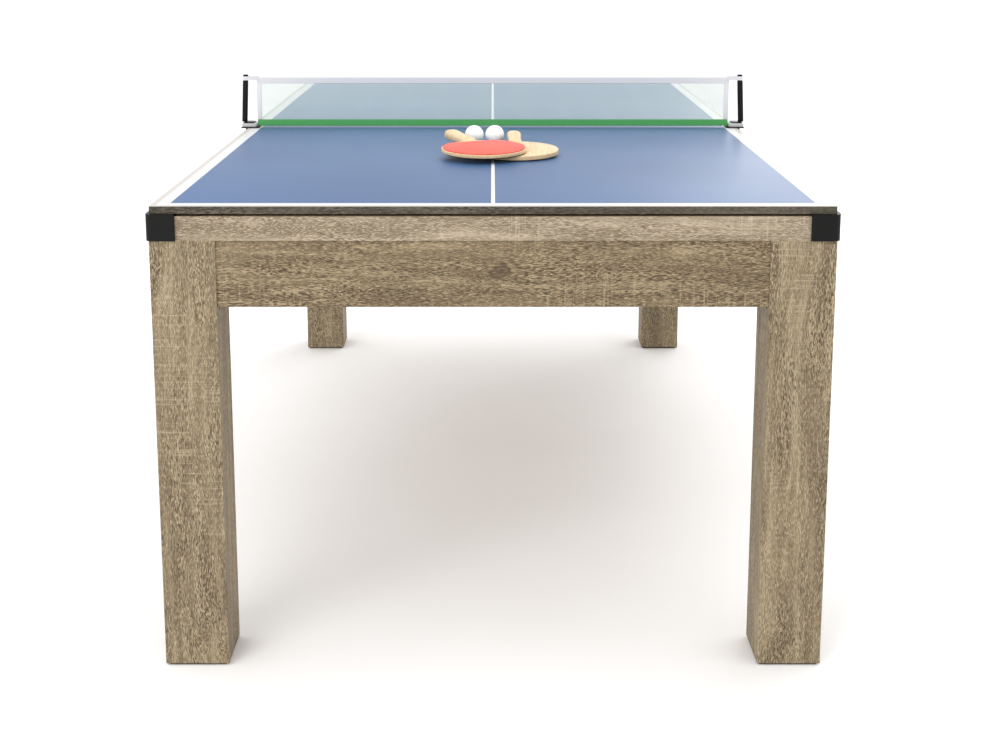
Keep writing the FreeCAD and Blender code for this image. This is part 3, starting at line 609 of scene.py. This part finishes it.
def cushion(name, back, nose, inward, low, high):
    """A cushion between two mitred ends, its profile drawn in a little at each end.

    Each profile point runs from one end to the other on a line between the back's and the nose's.
    """
    back, nose, inward = (np.array(v, float) for v in (back, nose, inward))
    depth = abs((nose[0] - back[0]) @ inward)
    section = cushion_profile(depth, low, high)
    share = section[:, 0] / depth
    starts = back[0] + share[:, None] * (nose[0] - back[0])
    ends = back[1] + share[:, None] * (nose[1] - back[1])
    steps = np.array([0, 0.0025, 0.25, 0.5, 0.75, 0.9975, 1])
    pull = np.array([1.2, 0.2, 0, 0, 0, 0.2, 1.2]) * MM
    rings = []
    middle = np.array([depth / 2, (low + high) / 2])
    for step, draw in zip(steps, pull):
        flat = starts + step * (ends - starts)
        inwards = middle - section
        way = inwards / np.linalg.norm(inwards, axis=1)[:, None] * draw
        flat = flat + way[:, :1] * inward
        rings.append(np.column_stack([flat, section[:, 1] + way[:, 1]]))
    return tube(name, rings, felt)


def cushions():
    """Six cushions, one to a rail: mitred at the corners and nearly square at the side pockets."""
    low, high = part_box("end_cushions")
    reach, face = high.x, high.y
    side_low, side_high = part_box("side_cushions")
    side_face, side_reach = side_high.x, side_high.y
    depth, run, side_run = 30 * MM, 32 * MM, 8 * MM
    ends = []
    for name, s in (("near", -1), ("far", 1)):
        back = [(-reach, s * face), (reach, s * face)]
        nose = [(-(reach - run), s * (face - depth)), (reach - run, s * (face - depth))]
        ends.append(cushion(f"{name}_cushion", back, nose, (0, -s), low.z, high.z))
    settle(join("end_cushion_rubbers", ends), "table", "cushion_felt", "end_cushions")
    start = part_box("side_caps")[1].y
    sides = []
    for name, s in SIDES.items():
        for way, t in (("near", -1), ("far", 1)):
            nose_x = s * (side_face - depth)
            back = [(s * side_face, t * side_reach), (s * side_face, t * start)]
            nose = [(nose_x, t * (side_reach - run)), (nose_x, t * (start + side_run))]
            sides.append(cushion(f"{name}_{way}_cushion", back, nose, (-s, 0), side_low.z, side_high.z))
    settle(join("side_cushion_rubbers", sides), "table", "cushion_felt", "side_cushions")


# ---- the table-tennis top ----


def tennis_halves():
    """Each half is a painted board with an edging strip round its three outer sides."""
    low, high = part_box("tennis_top_near")
    half_x, half_y = high.x, -low.y
    paint = painted_board("blue_enamel_with_lines", half_x, half_y)

    def top_or_edge(faces, rings):
        """0 on the upper face and its arris, 1 underneath, 2 on end edges and 3 on side edges."""
        points = rings.reshape(-1, 3)
        slots = []
        for face in faces:
            spot = points[face].mean(axis=0)
            if spot[2] > rings[:, :, 2].max() - 0.4 * MM:
                slots.append(0)
            elif spot[2] < rings[:, :, 2].min() + 0.4 * MM:
                slots.append(1)
            else:
                slots.append(3 if abs(spot[0]) > half_x - 3 * MM else 2)
        return slots

    for half in ("near", "far"):
        low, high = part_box(f"tennis_top_{half}")
        materials = [paint, board, oak["edge_end"], oak["edge_side"]]
        slab = plate(f"tennis_{half}_board", low, high, 3 * MM, 0.8 * MM, materials, top_or_edge)
        settle(slab, f"top_{half}", "tennis_paint", f"tennis_top_{half}")


# ---- the net ----


def net_cords():
    """Square netting: straight cords of 0.65 mm at a pitch of 2.4 mm both ways, as four-sided tubes.

    Each cord is one closed box whose corners are offset from its middle line by half its thickness.
    """
    low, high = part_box("net_mesh")
    pitch, cord = 2.4 * MM, 0.65 * MM
    middle = (low.y + high.y) / 2
    across = np.linspace(low.x, high.x, int((high.x - low.x) / pitch) + 1)
    upward = np.linspace(low.z, high.z, int((high.z - low.z) / pitch) + 1)[1:-1]
    corner = np.array([[sx, sy, sz] for sx in (-1, 1) for sy in (-1, 1) for sz in (-1, 1)], float)
    ends = [[0, 1, 3, 2], [4, 6, 7, 5]]
    faces = np.array(ends + [[0, 4, 5, 1], [2, 3, 7, 6], [0, 2, 6, 4], [1, 5, 7, 3]])
    centres = [(x, middle + 0.15 * MM, (low.z + high.z) / 2) for x in across]
    halves = [(cord / 2, cord / 2, (high.z - low.z) / 2)] * len(across)
    centres += [((low.x + high.x) / 2, middle - 0.15 * MM, z) for z in upward]
    halves += [((high.x - low.x) / 2, cord / 2, cord / 2)] * len(upward)
    points = np.array(centres)[:, None, :] + corner[None] * np.array(halves)[:, None, :]
    all_faces = (faces[None] + 8 * np.arange(len(points))[:, None, None]).reshape(-1, 4)
    return make("net_cords", points, all_faces, cord_pale, smooth=False)


def strip(name, low, high, material, bulge=0.0, count=60):
    """A length of folded tape along X: an upright oval section, slightly fuller at its top cord.

    The height and thickness follow a squared ellipse, and the strip wavers by a fraction of a
    millimetre as sewn tape does.
    """
    turn = np.linspace(0, 2 * math.pi, 20, endpoint=False)
    power = 0.45
    wide = np.sign(np.cos(turn)) * np.abs(np.cos(turn)) ** power * (high[1] - low[1]) / 2
    tall = np.sign(np.sin(turn)) * np.abs(np.sin(turn)) ** power * (high[2] - low[2]) / 2
    wide = wide * np.where(tall > (high[2] - low[2]) * 0.22, 1.0, 1.0 - bulge)
    rings = []
    for x in np.linspace(low[0], high[0], count):
        waver = 0.12 * MM * math.sin(x * 61) + 0.1 * MM * math.sin(x * 23 + 1)
        y = (low[1] + high[1]) / 2 + wide + waver * (1 - bulge)
        rings.append(np.column_stack([np.full(len(turn), x), y, (low[2] + high[2]) / 2 + tall]))
    return tube(name, rings, material)


def net():
    """The net: cords inside a top tape and two side hems, with a green band along the bottom.

    The tape and the band are one kind of section carried along X, and each hem is a plate.
    """
    cords = net_cords()
    low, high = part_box("net_binding")
    mesh_low, mesh_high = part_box("net_mesh")
    tape = strip("tape", (low.x, low.y, mesh_high.z), tuple(high), tape_white, 0.25)
    hems = []
    for name, s in SIDES.items():
        inner, outer = s * mesh_high.x, s * high.x
        spot_low = (min(inner, outer), low.y, low.z)
        spot_high = (max(inner, outer), high.y, mesh_high.z + 0.5 * MM)
        hems.append(plate(f"hem_{name}", spot_low, spot_high, 1.1 * MM, 0.5 * MM, tape_white))
    binding = settle(join("net_tape_and_hems", [tape, *hems]), "top_near", "net_tape", "net_binding")
    band_low, band_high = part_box("net_bottom_band")
    band = strip("net_green_band", tuple(band_low), tuple(band_high), band_green, 0.1)
    settle(band, "top_near", "net_band", "net_bottom_band")
    settle(cords, "top_near", "net_cord", "net_mesh")


def clamps():
    """Each clamp is a bent plate hooked over the top's edge, with a grey jaw, a lever and a post."""
    top_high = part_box("tennis_top_near")[1]
    surface = top_high.z
    wall = top_high.x + 0.5 * MM
    for name, s in SIDES.items():
        low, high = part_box(f"net_clamp_{name}")
        inner, outer = sorted((abs(low.x), abs(high.x)))
        under, tongue = low.z, wall - 22 * MM
        hook = [
            (inner, surface),
            (inner, surface + 1.4 * MM),
            (inner + 0.6 * MM, surface + 2 * MM),
            (outer - 1 * MM, surface + 2 * MM),
            (outer, surface + 1 * MM),
            (outer, surface),
            (wall + 4 * MM, surface),
            (wall + 4 * MM, under + 1 * MM),
            (wall + 3 * MM, under),
            (tongue + 0.6 * MM, under),
            (tongue, under + 0.6 * MM),
            (tongue, under + 2 * MM),
            (wall, under + 2 * MM),
            (wall, surface),
        ]
        rings = [[(s * x, y, z) for x, z in hook] for y in (low.y, high.y)]
        bend = tube(f"hook_{name}", rings, clamp_black, smooth=False)
        middle = (low.y + high.y) / 2
        seam = high.z - 2.5 * MM
        start, end = sorted((s * (outer - 2 * MM), s * (outer - 36 * MM)))
        spots = (start, middle - 22 * MM, surface + 2 * MM), (end, middle + 22 * MM, seam)
        jaw = plate(f"jaw_{name}", *spots, 5 * MM, 2 * MM, jaw_grey)
        start, end = sorted((s * (outer - 4 * MM), s * (outer - 30 * MM)))
        spots = (start, middle - 17 * MM, seam), (end, middle + 17 * MM, high.z)
        lever = plate(f"lever_{name}", *spots, 6 * MM, 1.1 * MM, clamp_black)
        clamp = join(f"clamp_and_jaw_{name}", [bend, jaw, lever])
        settle(clamp, f"clamp_{name}", "clamp_plastic", f"net_clamp_{name}")
        post(name, s, middle)


def post(name, s, middle):
    """A post that leans in by 5 mm, as round-cornered squares with a ringed tip, and its net strap."""
    low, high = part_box(f"net_post_{name}")
    foot_x = s * (max(abs(low.x), abs(high.x)) - 6 * MM)
    top_x = foot_x - s * 5 * MM
    tip = high.z - np.array([15, 13.5, 4.5, 3.5, 1, 0]) * MM
    heights = np.concatenate([[low.z, low.z + 1 * MM], tip])
    halves = np.array([5.6, 6.0, 6.0, 4.6, 4.6, 5.6, 5.6, 4.8]) * MM
    rings = []
    for z, half in zip(heights, halves, strict=True):
        x = foot_x + (top_x - foot_x) * (z - low.z) / (high.z - low.z)
        flat = rounded_outline((x - half, middle - half), (x + half, middle + half), half * 0.45)
        rings.append(np.column_stack([flat, np.full(len(flat), z)]))
    pole = tube(f"net_pole_{name}", rings, clamp_black)
    settle(pole, f"clamp_{name}", "clamp_plastic", f"net_post_{name}")
    strap(name, s, middle, high.z - 4 * MM, abs(top_x) + 7.2 * MM)


def strap(name, s, middle, top, outer):
    """A closed band from the net's tape round its post: wide at the post and pinched at the tape.

    Its width falls with the 0.8th power of the distance from the post.
    """
    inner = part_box("net_binding")[1].x - 6 * MM
    start, end = sorted((s * inner, s * outer))
    wide = rounded_outline((start, middle - 7 * MM), (end, middle + 7 * MM), 6.8 * MM, 12)
    spots = (start + 1 * MM, middle - 6 * MM), (end - 1 * MM, middle + 6 * MM)
    thin = rounded_outline(*spots, 5.9 * MM, 12)
    pinch = np.clip((outer - np.abs(wide[:, 0])) / (outer - inner), 0, 1)
    for ring in (wide, thin):
        ring[:, 1] = middle + (ring[:, 1] - middle) * (1 - 0.72 * pinch**0.8)
    foot = top - 9 * MM
    section = []
    for ring, z in ((wide, foot), (wide, top), (thin, top), (thin, foot)):
        section.append(np.column_stack([ring, np.full(len(ring), z)]))
    loop = tube(f"net_strap_{name}", section, tape_white, closed=True)
    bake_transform(loop)


# ---- bats and balls ----


def points_of(mesh):
    """A mesh's vertices as an array of points."""
    co = np.zeros(len(mesh.vertices) * 3, np.float32)
    mesh.vertices.foreach_get("co", co)
    return co.reshape(-1, 3).astype(float)


def bat_frame(node):
    """A bat's CAD points, and unit vectors along its handle, across it and up from its face.

    The mesh's long direction is its first principal axis and its thin one the last.
    """
    mesh = nodes[node].data
    co = points_of(mesh)
    mesh.calc_loop_triangles()
    first, second, third = np.array([co[list(t.vertices)] for t in mesh.loop_triangles]).swapaxes(0, 1)
    area = np.linalg.norm(np.cross(second - first, third - first), axis=1)
    centres = (first + second + third) / 3
    spread = centres - (centres * area[:, None]).sum(axis=0) / area.sum()
    axes = np.linalg.eigh((spread * area[:, None]).T @ spread)[1]
    up = axes[:, 0] * (1 if axes[2, 0] > 0 else -1)
    along = axes[:, 2] * (1 if axes[1, 2] > 0 else -1)
    across = np.cross(along, up)
    return co, along, across, up


def blade_outline(radius, count=72):
    """The blade's edge in its own plane: a circle, slightly longer than wide, drawn in to the neck."""
    turn = np.linspace(0, 2 * math.pi, count, endpoint=False) + math.pi / 2
    x = radius * np.cos(turn)
    y = radius * np.sin(turn)
    neck = np.clip((y - radius * 0.72) / (radius * 0.28), 0, 1)
    x = x * (1 - 0.12 * neck)
    return np.stack([x, y], axis=-1)


def lens(name, outline, low, high, arris, material):
    """A flat sheet with an outline and softly rounded edges, between two heights."""
    size = np.abs(outline).max()
    rings = []
    for inset, up in zip(*soft_edge(low, high, arris), strict=True):
        rings.append(np.column_stack([outline * (1 - inset / size), np.full(len(outline), up)]))
    return tube(name, rings, material)


def handle(name, start, end, material):
    """A bat's handle: an oval carried along it, narrow at the waist and flared at the butt.

    Its half widths run straight between the sizes at the neck, waist, flare and rounded butt.
    """
    steps = np.array([0, 0.06, 0.13, 0.3, 0.45, 0.7, 0.9, 0.955, 0.985, 1])
    wide = np.interp(steps, [0, 0.13, 0.45, 0.9, 0.985, 1], [12.0, 14.6, 13.4, 15.8, 15.0, 13.4]) * MM
    tall = np.interp(steps, [0, 0.13, 0.45, 0.9, 0.985, 1], [3.4, 10.8, 10.2, 11.4, 10.4, 8.8]) * MM
    turn = np.linspace(0, 2 * math.pi, 28, endpoint=False)
    cos, sin = np.cos(turn), np.sin(turn)
    rings = []
    for step, half_x, half_z in zip(steps, wide, tall, strict=True):
        x = np.sign(cos) * np.abs(cos) ** 0.75 * half_x
        z = np.sign(sin) * np.abs(sin) ** 0.75 * half_z
        rings.append(np.column_stack([x, np.full(len(turn), start + step * (end - start)), z]))
    return tube(name, rings, material)


def laid(piece, spot, along, across, up):
    """Move a piece drawn flat about the blade's middle to where its bat lies."""
    mesh = piece.data
    co = points_of(mesh)
    moved = spot + co[:, :1] * across + co[:, 1:2] * along + co[:, 2:] * up
    mesh.vertices.foreach_set("co", moved.astype(np.float32).ravel())
    mesh.update()
    return piece


def bats():
    """The plain bat and the red one, each where its CAD node lies."""
    core, skin, rim = 6.5 * MM, 2 * MM, 3 * MM
    for name in ("plain", "red"):
        points, along, across, up = bat_frame(f"bat_{name}")
        side, thin = points @ across, points @ up
        blade = (side.max() - side.min()) / 2
        spot = ((points @ along).min() + blade) * along
        spot = spot + (side.max() + side.min()) / 2 * across + (thin.max() + thin.min()) / 2 * up
        face = blade_outline(blade - rim)
        face[:, 1] = np.minimum(face[:, 1], blade - 19 * MM)
        back = lens(f"back_rubber_{name}", face, -core / 2 - skin, -core / 2, 0.5 * MM, black_rubber)
        top = core / 2 + (skin if name == "plain" else 0)
        wood = lens(f"blade_{name}", blade_outline(blade), -core / 2, top, 0.9 * MM, veneer)
        butt = np.ptp(points @ along) - blade
        grip = handle(f"grip_{name}", blade - 18 * MM, butt, veneer)
        if name == "plain":
            bat = laid(join("plain_bat", [wood, grip, back]), spot, along, across, up)
            settle(bat, "bat_plain", "bat_wood", "bat_plain")
            continue
        bat = laid(join("red_bat", [wood, grip]), spot, along, across, up)
        settle(bat, "bat_red", "bat_wood", "bat_red")
        front = lens("front_rubber", face, core / 2, core / 2 + skin, 0.5 * MM, rubber)
        pair = laid(join("red_bat_rubbers", [front, back]), spot, along, across, up)
        settle(pair, "bat_red", "bat_rubber", "bat_red_rubbers")


def balls():
    """Each ball is a half circle carried round its axis, with a faint groove for its seam."""
    for name in SIDES:
        low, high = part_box(f"ball_{name}")
        middle, radius = (low + high) / 2, (high.z - low.z) / 2
        rise = np.linspace(0, math.pi, 33)[1:-1]
        turn = np.linspace(0, 2 * math.pi, 48, endpoint=False)
        size = radius * (1 - 0.0016 * np.exp(-(((rise - math.pi / 2) / 0.03) ** 2)))
        wide, along = size * np.sin(rise), size * np.cos(rise)
        round_x, round_z = np.outer(wide, np.cos(turn)), np.outer(wide, np.sin(turn))
        rows = np.broadcast_to(along[:, None], round_x.shape)
        points = np.stack([round_x, rows, round_z], axis=-1).reshape(-1, 3)
        poles = np.array([[0, radius, 0], [0, -radius, 0]])
        faces = ring_faces(len(rise), 48).tolist()
        last = len(points)
        faces += [[k, (k + 1) % 48, last] for k in range(48)]
        faces += [[last - 48 + k, last - 48 + (k + 1) % 48, last + 1] for k in range(48)]
        points = np.concatenate([points, poles]) + np.array(middle)
        ball = make(f"white_ball_{name}", points, faces, white_ball)
        settle(ball, f"ball_{name}", "ball_plastic", f"ball_{name}")


# ---- floor, light and camera ----


def stage():
    """A pale floor that runs far out, a bright even surround and three soft lamps."""
    made, tree, shader = finish("white_studio_floor", "#F4F4F4", 0.9)
    speck = stretched_noise(tree, 2, 3, 3, 2)
    tone = add(tree, LEVEL, [speck, 0.3, 0.7])
    colour = add(tree, BLEND, {0: tone, 6: linear("#F3F3F3"), 7: linear("#F5F5F5")}, 2)
    feed(tree, shader, {"Base Color": colour})
    reach = 30.0
    edge = np.array([(-reach, -reach, 0), (reach, -reach, 0), (reach, reach, 0), (-reach, reach, 0)])
    floor = make("studio_floor", edge, [[0, 1, 2, 3]], made, smooth=False)
    world = bpy.data.worlds.new("white_studio")
    world.use_nodes = True
    bpy.context.scene.world = world
    glow = world.node_tree.nodes["Background"]
    glow.inputs["Color"].default_value = (1, 1, 1, 1)
    glow.inputs["Strength"].default_value = 1.25
    for name, spot, size, power in (
        ("front_softbox", (-2.6, -4.8, 3.2), 3.0, 115),
        ("top_softbox", (0.6, 0.4, 4.2), 3.6, 50),
        ("far_softbox", (2.8, 5.0, 2.2), 3.2, 70),
    ):
        light = bpy.data.lights.new(name, "AREA")
        light.size = size
        light.energy = power
        lamp = bpy.data.objects.new(name, light)
        lamp.location = spot
        lamp.rotation_mode = "QUATERNION"
        lamp.rotation_quaternion = (Vector((0, 0, 0.6)) - Vector(spot)).to_track_quat("-Z", "Y")
        lamp.visible_camera = False
        bpy.context.scene.collection.objects.link(lamp)


def camera():
    """Eye height at the near end, looking slightly down, with a small shift for upright legs."""
    seen = bpy.data.cameras.new("eye_height")
    seen.lens = 53.6
    seen.sensor_width = 36
    seen.shift_y = -0.17
    made = bpy.data.objects.new("eye_height", seen)
    made.location = (-0.0018, -3.447, 1.258)
    made.rotation_euler = (math.radians(90 - 10.26), 0, 0)
    bpy.context.scene.collection.objects.link(made)
    bpy.context.scene.camera = made


bpy.context.scene.view_settings.view_transform = "Standard"
camera()
stage()
table_wood()
table_fittings()
pocket_liners()
bed_baize()
cushions()
tennis_halves()
net()
clamps()
bats()
balls()
